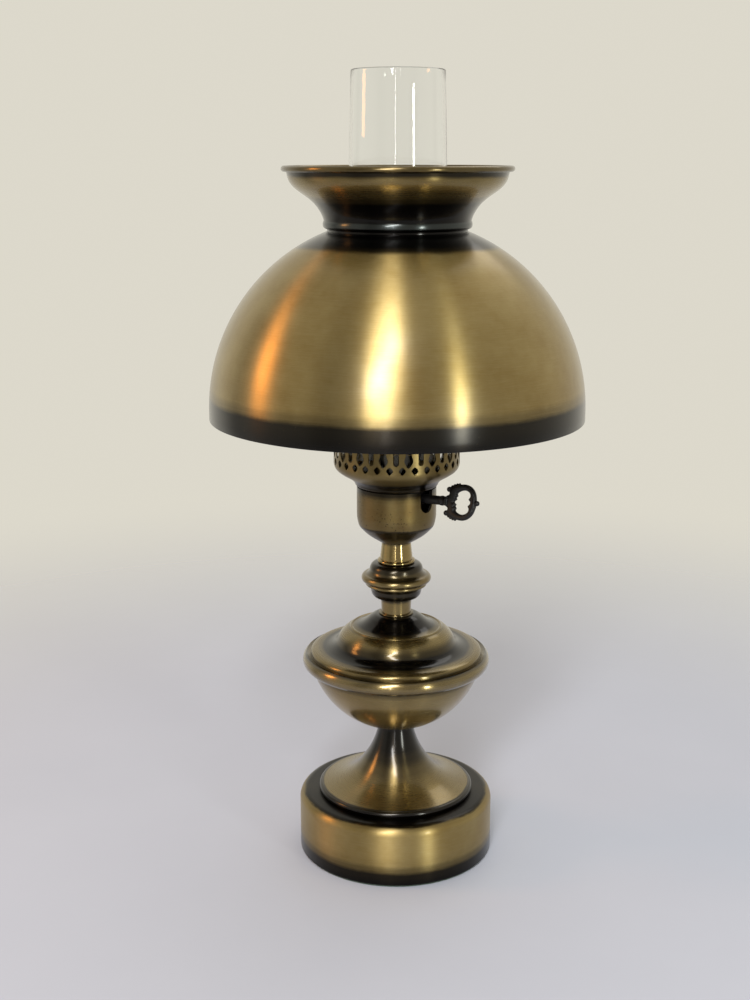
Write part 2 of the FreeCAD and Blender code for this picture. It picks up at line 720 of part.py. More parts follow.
def bulb_glass():
    """Pear-shaped envelope, hollow, closed at the stem inside the cap."""
    z_neck = BULB_BASE_BOTTOM + 1.8
    centre_z = BULB_TOP - BULB_R
    round_top = arc_points((0, centre_z), BULB_R, 90, -28, 13)
    neck_r = BULB_BASE_R - 0.8
    outer = [
        round_top,
        [round_top[-1], (18.4, centre_z - 16.2), (15.2, centre_z - 22.4), (13.2, 300.0), (neck_r, 294.5)],
        [(neck_r, 294.5), (neck_r, z_neck)],
        [(neck_r, z_neck), (0, z_neck)],
    ]
    solid = turned(outer)
    t = 0.8
    round_in = arc_points((0, centre_z), BULB_R - t, 90, -28, 13)
    inner = [
        round_in,
        [round_in[-1], (17.6, centre_z - 16.2), (14.4, centre_z - 22.2), (12.4, 300.2), (neck_r - t, 294.7)],
        [(neck_r - t, 294.7), (neck_r - t, z_neck + t)],
        [(neck_r - t, z_neck + t), (0, z_neck + t)],
    ]
    return solid.cut(turned(inner))


# ---------------------------------------------------------------- shade
def dome_z(r):
    return SHADE_CENTRE_Z + math.sqrt(SHADE_R * SHADE_R - r * r)


def shade_dome():
    """Spun hemisphere on a short upright skirt, open below and at the neck."""
    top_angle = math.degrees(math.acos(SHADE_HOLE_R / SHADE_R))
    section = [
        arc_points((0, SHADE_CENTRE_Z), SHADE_R, top_angle, 0, 25),
        [(SHADE_R, SHADE_CENTRE_Z), (SHADE_R, SHADE_BOTTOM)],
    ]
    return spun(section, SHADE_SHEET)


def shade_crown():
    """Flared collar on the dome: groove, dark ring bulge, waist, flare and rolled rim."""
    bead_z = CROWN_TOP - CROWN_BEAD_R
    bead_r = CROWN_RIM_R - CROWN_BEAD_R
    groove_r = SHADE_HOLE_R * (1 - SHADE_SHEET / SHADE_R) - FIT
    clench_top = dome_z(groove_r) - 2.2
    section = [
        [(bead_r - 0.6, bead_z - 0.6), (73.0, 478.6), (72.5, 476.4), (71.7, 473.6), (70.1, 471.0),
         (67.3, 468.1), (63.4, 465.2), (59.0, 462.1), (55.3, 458.9), (52.5, 455.5), (50.5, 452.2),
         (49.3, 449.4), (48.9, 447.6)],
        [(48.9, 447.6), (49.35, 446.3), (49.3, 444.4), (48.4, 442.8), (groove_r, 441.8)],
        [(groove_r, 441.8), (groove_r, clench_top)],
        [(groove_r, clench_top), (CLENCH_R, clench_top - 0.9)],
    ]
    bead = Part.makeTorus(bead_r, CROWN_BEAD_R, Vector(0, 0, bead_z))
    return spun(section, CROWN_SHEET).fuse(bead).removeSplitter()


def hub_inner_r():
    return GALLERY_R + HUB_GAP


def shade_spider():
    """Hub that drops over the gallery, with three arms soldered inside the dome."""
    hub_r = hub_inner_r()
    z_rest = GALLERY_TOP + 0.4
    hub = turned([
        [(39.6, z_rest), (hub_r, z_rest)],
        [(hub_r, z_rest), (hub_r, z_rest - 7.5)],
        [(hub_r, z_rest - 7.5), (hub_r + 1.4, z_rest - 7.5)],
        [(hub_r + 1.4, z_rest - 7.5), (hub_r + 1.4, z_rest + 0.6)],
        arc_points((hub_r + 0.4, z_rest + 0.6), 1.0, 0, 90, 5),
        [(hub_r + 0.4, z_rest + 1.6), (39.6, z_rest + 1.6)],
    ])
    path = [(hub_r + 1.0, z_rest - 4.0), (60.0, z_rest - 3.2), (82.0, z_rest + 0.6), (104.0, z_rest + 6.4),
            (118.0, z_rest + 11.8), (124.0, z_rest + 16.4), (SHADE_R - 0.6, z_rest + 24.0)]
    lower = edge_through(path)
    moved = offset_segments([path], -ARM_T)[0]
    upper = edge_through(list(reversed(moved)))
    ends = [
        Part.makeLine(point(*path[-1]), point(*moved[-1])),
        Part.makeLine(point(*moved[0]), point(*path[0])),
    ]
    face = Part.Face(Part.Wire([lower, ends[0], upper, ends[1]]))
    face.translate(Vector(0, -ARM_W / 2, 0))
    arm = face.extrude(Vector(0, ARM_W, 0))
    inside = SHADE_R - SHADE_SHEET - FIT
    cavity = Part.makeSphere(inside, Vector(0, 0, SHADE_CENTRE_Z)).fuse(
        Part.makeCylinder(inside, 30.0, Vector(0, 0, SHADE_CENTRE_Z - 30.0)))
    arm = arm.common(cavity).cut(Part.makeCylinder(hub_r + 0.3, 40, Vector(0, 0, z_rest - 20)))
    return hub.fuse(around(arm, 3, 90))


# ---------------------------------------------------------------- write
NODES = [
    felt_pad, plinth_shell, base_weight, cord_bushing, pedestal_foot,
    font_bowl, font_rim, font_lid,
    lower_check_ring, lower_neck, knop, upper_check_ring, upper_neck,
    lamp_pipe, base_washer, base_nut, cup_washer, cup_nut,
    socket_cup, cup_liner, socket_body, screw_shell, centre_contact, terminal_screws, socket_ring,
    key_spindle, key_ring,
    gallery, chimney_seat, chimney,
    bulb_base, bulb_insulator, bulb_contact, bulb_glass,
    shade_dome, shade_crown, shade_spider,
]

os.makedirs("parts", exist_ok=True)
for make in NODES:
    shape = make()
    shape.exportStep("parts/" + make.__name__ + ".step")
    box = shape.BoundBox
    print(f"{make.__name__:18s} solids {len(shape.Solids)} valid {shape.isValid()} volume {shape.Volume:10.1f}"
          f"  z {box.ZMin:7.2f} {box.ZMax:7.2f}  r {max(box.XMax, box.YMax):7.2f}")
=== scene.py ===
import json
import math

import bmesh
import bpy
from mathutils import Matrix, Vector


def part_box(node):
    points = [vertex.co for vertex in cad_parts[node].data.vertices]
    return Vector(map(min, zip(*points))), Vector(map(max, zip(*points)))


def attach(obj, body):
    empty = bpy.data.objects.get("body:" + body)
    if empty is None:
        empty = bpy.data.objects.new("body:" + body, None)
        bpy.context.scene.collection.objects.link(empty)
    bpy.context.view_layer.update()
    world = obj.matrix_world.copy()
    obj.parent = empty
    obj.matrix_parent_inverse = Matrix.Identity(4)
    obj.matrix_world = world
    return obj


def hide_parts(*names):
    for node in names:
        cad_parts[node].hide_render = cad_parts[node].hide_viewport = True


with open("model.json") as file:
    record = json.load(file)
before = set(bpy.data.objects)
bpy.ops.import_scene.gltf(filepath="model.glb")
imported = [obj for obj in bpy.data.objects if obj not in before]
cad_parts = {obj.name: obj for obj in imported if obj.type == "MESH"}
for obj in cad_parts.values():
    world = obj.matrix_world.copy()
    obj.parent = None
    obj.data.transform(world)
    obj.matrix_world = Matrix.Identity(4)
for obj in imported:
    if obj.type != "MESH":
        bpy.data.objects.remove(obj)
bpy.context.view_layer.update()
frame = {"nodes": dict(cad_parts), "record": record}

NODES = frame["nodes"]

# ---------------------------------------------------------------- camera, room and colours
CAMERA_AWAY = 0.9476            # metres from the lamp's axis, towards the front
CAMERA_HEIGHT = 0.4906
CAMERA_ASIDE = -0.0149
CAMERA_PITCH = 13.81            # degrees below the horizon
CAMERA_LENS = 50.8

LAMP_MIDDLE = (0, 0, 0.27)      # most lights aim here
CHIMNEY_END = (0, 0, 0.50)
ROOM_FRONT = (0.47, 0.445, 0.385)
ROOM_BACK = (0.72, 0.69, 0.60)
# darker parts of the room: (degrees from the camera's side, brightness)
ROOM_CORNERS = [(-180, 1.0), (-128, 1.0), (-113, 0.50), (-102, 0.95), (-58, 1.0), (-48, 0.62), (-38, 0.62),
                (-27, 1.0), (60, 0.96), (100, 0.94), (130, 1.0), (180, 1.0)]
TABLE_DARK = (0.485, 0.51, 0.60)
TABLE_PALE = (0.515, 0.54, 0.63)
TABLE_FADE_FROM = 300.0         # millimetres from the lamp at which the table starts to thin out
TABLE_FADE_TO = 1100.0

BRASS = (0.395, 0.298, 0.122)
BRASS_WORN = (0.50, 0.40, 0.20)
BRASS_DEEP = (0.31, 0.215, 0.070)
BLACKING = (0.006, 0.005, 0.0045)
STAIN = (0.13, 0.070, 0.020)    # brown stain on worn brass
PAINTED_GLEAM_GREY = (0.045, 0.052, 0.052)   # painted reflection: grey gloss laid over the blacking of the crown's ring
GLASS_TINT = (0.985, 0.992, 0.99)

# ---------------------------------------------------------------- sizes in millimetres, as in the CAD
SHEET = 1.0                     # wall of the spun base, foot and font
BORE_R = 5.2                    # hole through the stacked pieces, around the lamp pipe
OUTLET_R = 5.0                  # cord outlet in the plinth's rear wall
OUTLET_Z = 14.0

PLINTH_SHOULDER_R = 6.5
FOOT_BOTTOM = 44.0
STEM_TOP = 93.5
BOWL_R = 61.9                   # sphere that the bowl is spun to
BOWL_CENTRE_Z = 154.4
BOWL_WALL_R = 59.2
RIM_R = 60.5                    # bead around the font
RIM_Z = 143.0
RIM_BEAD_R = 5.6
LID_R = 60.3

SHADE_SHEET = 0.8
DOME_SKIRT = 5.8                # height of the dome's widest circle above its edge
DOME_HOLE_R = 46.7
CROWN_RIM_R = 76.5
CROWN_BEAD_R = 1.95

CHIMNEY_LOW_R = 37.2
CHIMNEY_TOP_R = 30.7
CHIMNEY_GLASS = 2.0
CHIMNEY_LIP = 1.0

KEY_RING_OUT = 30.62            # the key ring's centre, from the joint's point in the cup's wall
KEY_AZIMUTH = -42.0             # degrees
KEY_TILT = 5.0
KEY_TURN = 18.0
KEY_RING_HALF_T = 2.0


def make_camera():
    data = bpy.data.cameras.new("camera")
    data.lens = CAMERA_LENS
    data.sensor_width = 36.0
    data.clip_start = 0.01
    camera = bpy.data.objects.new("camera", data)
    camera.location = (CAMERA_ASIDE, -CAMERA_AWAY, CAMERA_HEIGHT)
    camera.rotation_euler = (math.radians(90 - CAMERA_PITCH), 0, 0)
    bpy.context.collection.objects.link(camera)
    bpy.context.scene.camera = camera


def area_light(name, azimuth, elevation, distance, size, colour, power, aim=LAMP_MIDDLE, lean=0):
    """Rectangular soft light. Azimuth 0 is at the camera's side, positive to its right.

    lean tips the top of the rectangle to the right, in degrees, as seen from the lamp.
    """
    data = bpy.data.lights.new(name, "AREA")
    data.shape = "RECTANGLE"
    data.size, data.size_y = size
    data.color = colour
    data.energy = power
    lamp = bpy.data.objects.new(name, data)
    az = math.radians(azimuth)
    el = math.radians(elevation)
    away = Vector((math.sin(az) * math.cos(el), -math.cos(az) * math.cos(el), math.sin(el)))
    lamp.location = Vector(aim) + away * distance
    lamp.visible_transmission = False
    facing = away.to_track_quat("Z", "Y").to_matrix()
    lamp.rotation_euler = (facing @ Matrix.Rotation(math.radians(lean), 3, "Z")).to_euler()
    bpy.context.collection.objects.link(lamp)


def make_lights():
    area_light("window_left", azimuth=-10, elevation=33, distance=2.2, size=(0.27, 1.5),
               colour=(1.0, 0.985, 0.965), power=36, lean=-22)
    area_light("window_right", azimuth=36, elevation=2, distance=2.0, size=(0.18, 0.80),
               colour=(0.96, 1.0, 0.93), power=11)
    area_light("warm_lamp", azimuth=-90, elevation=20, distance=1.6, size=(0.28, 0.52),
               colour=(1.0, 0.42, 0.11), power=4.4)
    area_light("window_gap", azimuth=-7, elevation=3, distance=2.2, size=(0.04, 1.3),
               colour=(1.0, 1.0, 1.0), power=3.0, aim=CHIMNEY_END)
    area_light("ceiling", azimuth=160, elevation=52, distance=1.9, size=(1.2, 1.2),
               colour=(1.0, 0.99, 0.98), power=6)


def make_world():
    """Pale room: warm walls, dimmer on the camera's side and in the room's corners."""
    world = bpy.data.worlds.new("room")
    bpy.context.scene.world = world
    g = Graph(world, "ShaderNodeOutputWorld")
    direction = g.add("ShaderNodeSeparateXYZ", {0: g.add("ShaderNodeTexCoord").outputs["Generated"]})
    x = direction.outputs["X"]
    y = direction.outputs["Y"]
    wall = g.mix(g.stretch(y, -0.9, 0.3), ROOM_FRONT, ROOM_BACK)
    azimuth = g.maths("DEGREES", g.maths("ARCTAN2", x, g.maths("MULTIPLY", y, -1.0)))
    corners = g.ramp(azimuth, ROOM_CORNERS, smooth=False)
    g.finish(g.add("ShaderNodeBackground", {"Color": g.mix(1.0, wall, corners, blend="MULTIPLY")}))


# ---------------------------------------------------------------- shader helper
class Graph:
    """The node tree of a material or of the world, with short calls for the nodes used here."""

    def __init__(self, owner, output="ShaderNodeOutputMaterial"):
        self.owner = owner
        self.owner.use_nodes = True
        self.tree = owner.node_tree
        self.tree.nodes.clear()
        self.out = self.tree.nodes.new(output)

    def add(self, kind, inputs=None, **settings):
        node = self.tree.nodes.new(kind)
        for key, value in settings.items():
            setattr(node, key, value)
        for key, value in (inputs or {}).items():
            self.put(node.inputs[key], value)
        return node

    def put(self, socket, value):
        if isinstance(value, bpy.types.NodeSocket):
            self.tree.links.new(value, socket)
        elif isinstance(value, tuple) and len(value) == 3 and socket.type == "RGBA":
            socket.default_value = (*value, 1.0)
        else:
            socket.default_value = value

    def maths(self, operation, a, b=0.0, clamp=False):
        node = self.add("ShaderNodeMath", {0: a, 1: b}, operation=operation, use_clamp=clamp)
        return node.outputs[0]

    def join(self, x, y, z):
        return self.add("ShaderNodeCombineXYZ", {0: x, 1: y, 2: z}).outputs[0]

    def noise(self, vector, scale, detail=2.0, roughness=0.5, w=None):
        """Noise in three dimensions, or in four where w is given."""
        inputs = {"Vector": vector, "Scale": scale, "Detail": detail, "Roughness": roughness}
        if w is not None:
            inputs["W"] = w
        dimensions = "3D" if w is None else "4D"
        return self.add("ShaderNodeTexNoise", inputs, noise_dimensions=dimensions).outputs["Fac"]

    def stretch(self, value, low, high, to_low=0.0, to_high=1.0):
        node = self.add("ShaderNodeMapRange", {"Value": value, "From Min": low, "From Max": high,
                                               "To Min": to_low, "To Max": to_high})
        return node.outputs[0]

    def ramp(self, value, stops, smooth=True):
        """A value to a grey from 0 to 1, by stops (value, grey)."""
        low = stops[0][0]
        high = stops[-1][0]
        node = self.add("ShaderNodeValToRGB", {"Fac": self.stretch(value, low, high)})
        bar = node.color_ramp
        bar.interpolation = "EASE" if smooth else "LINEAR"
        for i, (place, grey) in enumerate(stops):
            at = (place - low) / (high - low)
            if i < 2:
                stop = bar.elements[i]
                stop.position = at
            else:
                stop = bar.elements.new(at)
            stop.color = (grey, grey, grey, 1)
        return node.outputs["Color"]

    def mix(self, factor, a, b, blend="MIX"):
        node = self.add("ShaderNodeMix", data_type="RGBA", blend_type=blend)
        self.put(node.inputs[0], factor)
        self.put(node.inputs[6], a)
        self.put(node.inputs[7], b)
        return node.outputs[2]

    def bump(self, height, strength, distance, normal=None):
        inputs = {"Height": height, "Strength": strength, "Distance": distance}
        if normal is not None:
            inputs["Normal"] = normal
        return self.add("ShaderNodeBump", inputs).outputs[0]

    def finish(self, shader):
        self.tree.links.new(shader.outputs[0], self.out.inputs["Surface"])
        return self.owner


class Place:
    """Where a shading point is, in millimetres: height, distance from the axis, direction."""

    def __init__(self, g):
        point = g.add("ShaderNodeTexCoord").outputs["Object"]
        parts = g.add("ShaderNodeSeparateXYZ", {0: point})
        x = g.maths("MULTIPLY", parts.outputs[0], 1000.0)
        y = g.maths("MULTIPLY", parts.outputs[1], 1000.0)
        self.point = point
        self.z = g.maths("MULTIPLY", parts.outputs[2], 1000.0)
        squares = g.maths("ADD", g.maths("MULTIPLY", x, x), g.maths("MULTIPLY", y, y))
        self.r = g.maths("MAXIMUM", g.maths("SQRT", squares), 0.001)
        self.cos = g.maths("DIVIDE", x, self.r)
        self.sin = g.maths("DIVIDE", y, self.r)


# ---------------------------------------------------------------- materials
def scratches(g, p, turning, pitch, detail, roughness):
    """Noise drawn out around the axis, as brushing on a lathe leaves it.

    turning: how many breaks the scratches have around the piece. pitch: how close they lie.
    """
    around = g.join(g.maths("MULTIPLY", p.cos, turning), g.maths("MULTIPLY", p.sin, turning),
                    g.maths("MULTIPLY", p.z, pitch))
    return g.noise(around, 1.0, detail, roughness, w=g.maths("MULTIPLY", p.r, pitch))


def tarnished(g, p, colour, amount):
    """Brown stains and clusters of small dark pits over a colour."""
    stains = g.stretch(g.noise(p.point, 75.0, 3.0, 0.6, w=3.0), 0.44, 0.60)
    colour = g.mix(g.maths("MULTIPLY", stains, amount), colour, STAIN)
    pits = g.stretch(g.noise(p.point, 620.0, 2.0, 0.5, w=1.0), 0.60, 0.66)
    clusters = g.stretch(g.noise(p.point, 60.0, 2.0, 0.5, w=9.0), 0.52, 0.62)
    return g.mix(g.maths("MULTIPLY", g.maths("MULTIPLY", pits, clusters), 0.85), colour, BLACKING)


def antique_brass(name, dark, along="z", tone=1.0, roughness=0.30, turning=6.0, grain=1.0, coat=0.5,
                  aniso=0.88, coat_rough=0.10, painted_gleam=None, tarnish=0.0):
    """Spun brass with fine circular brushing under lacquer, blacked where dark says.

    dark: stops (millimetres along z or r, 0 brass to 1 black). tone: brightness of the bare brass.
    turning: breaks in the brushing around the piece. grain: strength of the brushing's relief.
    slate: stops where a painted grey reflection is laid over the blacking. tarnish: how strongly stains and
    pits show.
    """
    g = Graph(bpy.data.materials.new(name))
    p = Place(g)
    lines = scratches(g, p, turning, 2.4, 3.0, 0.65)
    hair = scratches(g, p, turning * 3, 9.0, 2.0, 0.6)
    clouds = g.noise(p.point, 34.0, 4.0, 0.6)
    specks = g.noise(p.point, 420.0, 3.0, 0.7)

    warm = g.mix(g.stretch(clouds, 0.32, 0.70), BRASS_DEEP, BRASS)
    pale = g.mix(g.maths("MULTIPLY", g.stretch(lines, 0.42, 0.72), 0.25), warm, BRASS_WORN)
    shade = g.stretch(hair, 0.25, 0.8, 0.92 * tone, 1.06 * tone)
    toned = g.add("ShaderNodeVectorMath", {0: pale, 1: g.join(shade, shade, shade)},
                  operation="MULTIPLY").outputs[0]
    if tarnish:
        toned = tarnished(g, p, toned, tarnish)

    place = p.z if along == "z" else p.r
    wobble = g.maths("MULTIPLY", g.maths("SUBTRACT", clouds, 0.5), 2.2)
    wobble = g.maths("ADD", wobble, g.maths("MULTIPLY", g.maths("SUBTRACT", lines, 0.5), 1.4))
    black = g.ramp(g.maths("ADD", place, wobble), dark)
    black = g.maths("SUBTRACT", black, g.maths("MULTIPLY", g.stretch(specks, 0.66, 0.80), 0.10), clamp=True)
    # painted reflection: where slate stops are given, a grey gloss is mixed into the blacking
    ink = g.mix(g.ramp(place, painted_gleam), BLACKING, PAINTED_GLEAM_GREY) if painted_gleam else BLACKING
    colour = g.mix(black, toned, ink)

    rough = g.stretch(lines, 0.3, 0.75, roughness - 0.03, roughness + 0.05)
    rough = g.add("ShaderNodeMix", {0: black, 2: rough, 3: 0.30}, data_type="FLOAT").outputs[0]
    normal = g.bump(lines, 0.04 * grain, 0.0002)
    normal = g.bump(hair, 0.04 * grain, 0.0001, normal)
    tangent = g.add("ShaderNodeTangent", direction_type="RADIAL", axis="Z")
    shader = g.add("ShaderNodeBsdfPrincipled", {
        "Base Color": colour, "Metallic": 1.0, "Roughness": rough, "Normal": normal,
        "Anisotropic": aniso, "Anisotropic Rotation": 0.25, "Tangent": tangent.outputs[0],
        "Coat Weight": coat, "Coat Roughness": coat_rough, "Coat IOR": 1.5})
    return g.finish(shader)


def plain_metal(name, colour, roughness, grain_mm=0.6, strength=0.12):
    """Unlacquered plated metal with a fine mottle."""
    g = Graph(bpy.data.materials.new(name))
    p = Place(g)
    mottle = g.noise(p.point, 1000.0 / grain_mm, 3.0, 0.6)
    clouds = g.noise(p.point, 90.0, 3.0, 0.5)
    tint = g.mix(g.stretch(clouds, 0.3, 0.7), tuple(0.72 * c for c in colour), colour)
    rough = g.stretch(mottle, 0.3, 0.7, roughness - 0.06, roughness + 0.10)
    shader = g.add("ShaderNodeBsdfPrincipled", {
        "Base Color": tint, "Metallic": 1.0, "Roughness": rough,
        "Normal": g.bump(mottle, strength, 0.0003)})
    return g.finish(shader)


def moulded(name, colour, roughness, lumps=0.15, gloss=0.5):
    """Moulded or painted surface with a slight orange peel and uneven gloss."""
    g = Graph(bpy.data.materials.new(name))
    p = Place(g)
    peel = g.noise(p.point, 900.0, 3.0, 0.55)
    clouds = g.noise(p.point, 130.0, 3.0, 0.55)
    tint = g.mix(g.stretch(clouds, 0.3, 0.7), tuple(0.6 * c for c in colour), colour)
    rough = g.stretch(clouds, 0.3, 0.7, roughness - 0.07, roughness + 0.07)
    shader = g.add("ShaderNodeBsdfPrincipled", {
        "Base Color": tint, "Roughness": rough, "Specular IOR Level": gloss,
        "Normal": g.bump(peel, lumps, 0.0003)})
    return g.finish(shader)


def clear_glass(name):
    """Drawn glass tube: clear, with slow waves that run along it."""
    g = Graph(bpy.data.materials.new(name))
    p = Place(g)
    waves = g.noise(g.join(g.maths("MULTIPLY", p.cos, 2.0), g.maths("MULTIPLY", p.sin, 2.0),
                           g.maths("MULTIPLY", p.z, 0.02)), 1.0, 2.0, 0.4)
    shader = g.add("ShaderNodeBsdfPrincipled", {
        "Base Color": GLASS_TINT, "Roughness": 0.0, "IOR": 1.47, "Transmission Weight": 1.0,
        "Normal": g.bump(waves, 0.04, 0.002)})
    return g.finish(shader)


def felt(name, colour):
    g = Graph(bpy.data.materials.new(name))
    p = Place(g)
    fibres = g.noise(p.point, 1600.0, 4.0, 0.7)
    tint = g.mix(g.stretch(fibres, 0.3, 0.7), tuple(0.5 * c for c in colour), colour)
    shader = g.add("ShaderNodeBsdfPrincipled", {
        "Base Color": tint, "Roughness": 0.95, "Sheen Weight": 0.4,
        "Normal": g.bump(fibres, 0.5, 0.0006)})
    return g.finish(shader)


def table_top():
    """Pale table that thins out into the background far from the lamp."""
    g = Graph(bpy.data.materials.new("table_top"))
    p = Place(g)
    clouds = g.noise(p.point, 9.0, 4.0, 0.55)
    tint = g.mix(clouds, TABLE_DARK, TABLE_PALE)
    paper = g.add("ShaderNodeBsdfPrincipled", {"Base Color": tint, "Roughness": 0.75,
                                               "Specular IOR Level": 0.2})
    clear = g.add("ShaderNodeBsdfTransparent")
    fade = g.add("ShaderNodeMapRange", {"Value": p.r, "From Min": TABLE_FADE_FROM,
                                           "From Max": TABLE_FADE_TO}, interpolation_type="SMOOTHSTEP")
    both = g.add("ShaderNodeMixShader", {0: fade.outputs[0], 1: paper.outputs[0], 2: clear.outputs[0]})
    return g.finish(both)


# ---------------------------------------------------------------- outlines in millimetres
def arc(centre, radius, start, end, count=9):
    r0, z0 = centre
    out = []
    for i in range(count):
        a = math.radians(start + (end - start) * i / (count - 1))
        out.append((r0 + radius * math.cos(a), z0 + radius * math.sin(a)))
    return out


def smooth(points, per=6):
    """Catmull-Rom curve through the points, per steps to a span."""
    pts = [points[0]] + list(points) + [points[-1]]
    out = []
    for i in range(1, len(pts) - 2):
        p0, p1, p2, p3 = pts[i - 1:i + 3]
        for k in range(per):
            t = k / per
            out.append(tuple(0.5 * (2 * b + (c - a) * t + (2 * a - 5 * b + 4 * c - d) * t * t
                                    + (3 * b - a - 3 * c + d) * t ** 3)
                             for a, b, c, d in zip(p0, p1, p2, p3)))
    out.append(points[-1])
    return out


def lathe(name, outline, body, material, replaces=(), steps=192, sharp=32):
    """Revolves a closed (r, z) outline, in millimetres, about the lamp's axis."""
    mesh = bpy.data.meshes.new(name)
    bm = bmesh.new()
    rings = []
    for r, z in outline:
        if r < 1e-4:
            rings.append([bm.verts.new((0, 0, z / 1000))])
            continue
        ring = []
        for i in range(steps):
            a = 2 * math.pi * i / steps
            ring.append(bm.verts.new((r * math.cos(a) / 1000, r * math.sin(a) / 1000, z / 1000)))
        rings.append(ring)
    for low, high in zip(rings, rings[1:] + rings[:1]):
        if len(low) == 1 and len(high) == 1:
            continue
        for i in range(steps):
            j = (i + 1) % steps
            corners = [low[i % len(low)], low[j % len(low)], high[j % len(high)], high[i % len(high)]]
            unique = list(dict.fromkeys(corners))
            bm.faces.new(unique)
    bmesh.ops.recalc_face_normals(bm, faces=bm.faces)
    bm.to_mesh(mesh)
    bm.free()
    return place_piece(name, mesh, body, material, replaces, sharp)


def place_piece(name, mesh, body, material, replaces=(), sharp=32):
    mesh.shade_smooth()
    mesh.set_sharp_from_angle(angle=math.radians(sharp))
    piece = bpy.data.objects.new(name, mesh)
    bpy.context.collection.objects.link(piece)
    piece.data.materials.append(material)
    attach(piece, body)
    if replaces:
        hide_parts(*replaces)
    return piece


def paint(node, material):
    """Gives a CAD node a finished material."""
    piece = NODES[node]
    if not piece.material_slots:
        piece.data.materials.append(material)
    for place in piece.material_slots:
        place.material = material


# ---------------------------------------------------------------- pieces
def make_floor():
    mesh = bpy.data.meshes.new("table")
    reach = 6.0
    mesh.from_pydata([(-reach, -reach, 0), (reach, -reach, 0), (reach, reach, 0), (-reach, reach, 0)],
                     [], [(0, 1, 2, 3)])
    table = bpy.data.objects.new("table", mesh)
    mesh.materials.append(table_top())
    bpy.context.collection.objects.link(table)


def make_dome():
    low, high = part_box("shade_dome")
    radius = high[0] * 1000
    bottom = low[2] * 1000
    top = high[2] * 1000
    centre = bottom + DOME_SKIRT
    hole = math.degrees(math.acos(DOME_HOLE_R / radius))
    outer = arc((0, centre), radius, hole, 0, 60)
    inner = arc((0, centre), radius - SHADE_SHEET, 0, hole + 0.35, 60)
    lip = arc((radius - SHADE_SHEET / 2, bottom + SHADE_SHEET / 2), SHADE_SHEET / 2, 0, -180, 7)
    dark = [(bottom, 1.0), (bottom + 13.5, 0.97), (bottom + 18.0, 0.42), (bottom + 24, 0.05),
            (bottom + 40, 0.0), (top - 11.5, 0.0), (top - 8.5, 0.92), (top - 6.5, 1.0)]
    metal = antique_brass("dome_metal", dark, turning=9.0, roughness=0.35, aniso=0.94, coat=0.45,
                          coat_rough=0.22)
    lathe("shade_dome_spun", outer + lip + inner, "shade", metal, ["shade_dome"], steps=320)


def make_crown():
    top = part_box("shade_crown")[1][2] * 1000
    bead_r = CROWN_RIM_R - CROWN_BEAD_R
    bead_z = top - CROWN_BEAD_R
    flare = smooth([(73.1, 478.9), (72.6, 477.0), (71.8, 474.0), (70.1, 471.0), (67.3, 468.1), (63.4, 465.2),
                    (59.0, 462.1), (55.3, 458.9), (52.5, 455.5), (50.5, 452.2), (49.3, 449.4),
                    (48.8, 447.6)], 5)
    ring = smooth([(48.8, 447.6), (49.3, 446.5), (49.45, 445.2), (49.2, 443.7), (48.3, 442.7), (46.9, 442.2),
                   (46.6, 441.2)], 4)
    lip = [(46.6, 438.6), (50.0, 437.7), (49.9, 437.0), (45.8, 437.9)]
    inside = smooth([(45.8, 441.6), (47.6, 443.0), (48.4, 445.2), (48.0, 447.6), (48.5, 449.8), (49.8, 452.6),
                     (51.9, 456.0), (54.7, 459.5), (58.5, 462.8), (62.9, 465.9), (66.7, 468.7), (69.4, 471.5),
                     (71.0, 474.3), (71.8, 477.2), (72.0, 479.2)], 5)
    rim = arc((bead_r, bead_z), CROWN_BEAD_R, 188, -118, 24)
    dark = [(436.0, 1.0), (458.5, 1.0), (461.5, 0.75), (464.5, 0.30), (470.5, 0.20),
            (474.5, 0.32), (477.2, 0.95), (479.2, 0.95), (479.9, 0.58), (484.0, 0.50)]
    # painted reflection: stops for the grey band on the crown's black ring
    grey = [(440.0, 0.0), (443.2, 0.0), (444.6, 1.0), (446.6, 1.0), (448.0, 0.0), (452.0, 0.0)]
    metal = antique_brass("crown_metal", dark, turning=7.0, tone=0.80, roughness=0.26, coat=0.35, painted_gleam=grey)
    outline = rim + flare[1:] + ring[1:] + lip + inside
    lathe("shade_crown_spun", outline, "shade", metal, ["shade_crown"], steps=256)


def on_bowl(radius, start_r, end_r, count=36):
    """Points on the bowl's sphere, between two distances from the axis."""
    out = []
    for i in range(count):
        r = start_r + (end_r - start_r) * i / (count - 1)
        out.append((r, BOWL_CENTRE_Z - math.sqrt(radius * radius - r * r)))
    return out


